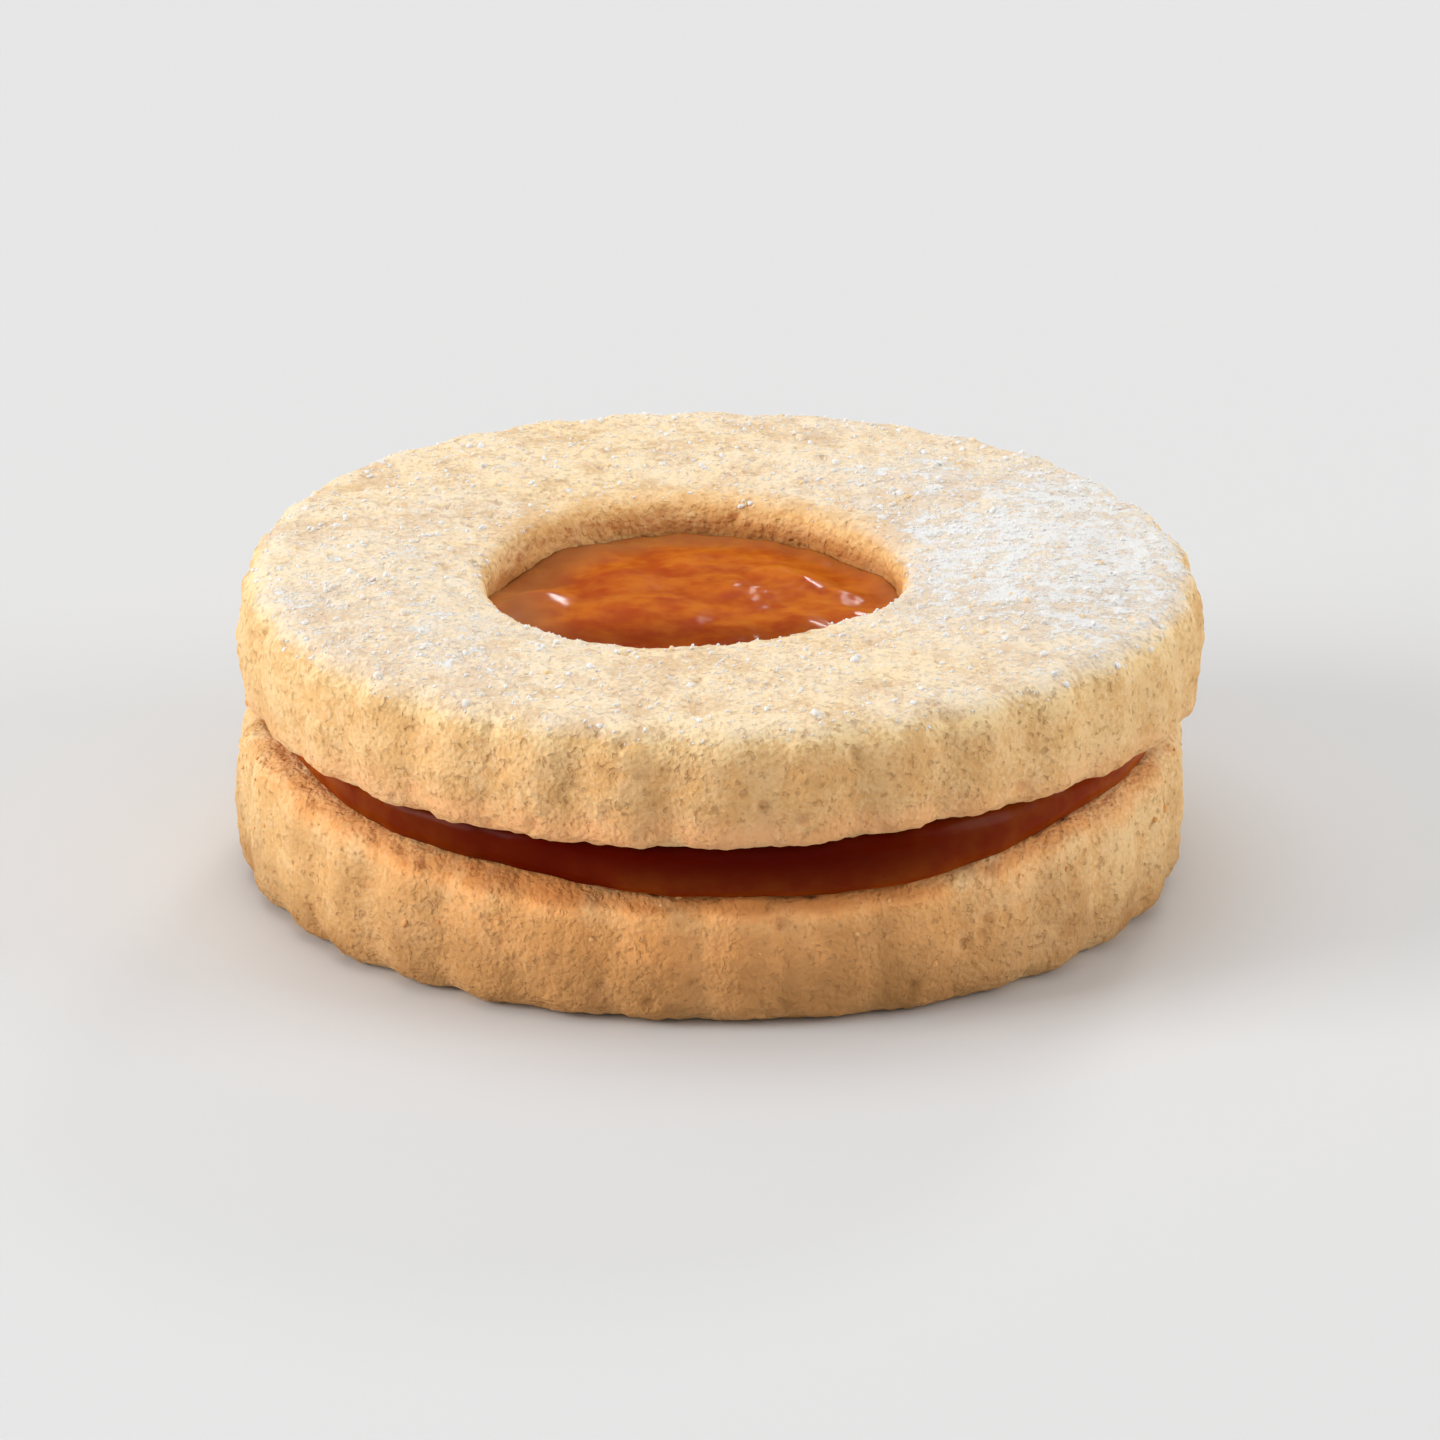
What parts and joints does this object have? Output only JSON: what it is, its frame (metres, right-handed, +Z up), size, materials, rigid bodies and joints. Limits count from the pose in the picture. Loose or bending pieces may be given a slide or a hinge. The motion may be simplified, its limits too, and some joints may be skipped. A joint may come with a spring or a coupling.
{
  "type": "jam sandwich sable cookie",
  "caption": "Round fluted shortbread sandwich with a jam layer and a round window in the dusted upper biscuit.",
  "frame": {"origin": "centre of the flat underside, under the middle of the outline", "axes": "+Z up through the window, -Y towards the shown front"},
  "size_m": [0.05, 0.0502, 0.0169],
  "materials": {
    "baked_sable": "baked shortbread, matt and sandy, golden with a browner foot",
    "dusted_sable": "baked shortbread, matt and sandy, with icing sugar sifted over its top",
    "apricot_jam": "glossy, lumpy orange jam"
  },
  "bodies": {
    "root": {"base_biscuit": "baked_sable", "jam_filling": "apricot_jam", "ring_biscuit": "dusted_sable"}
  },
  "joints": []
}
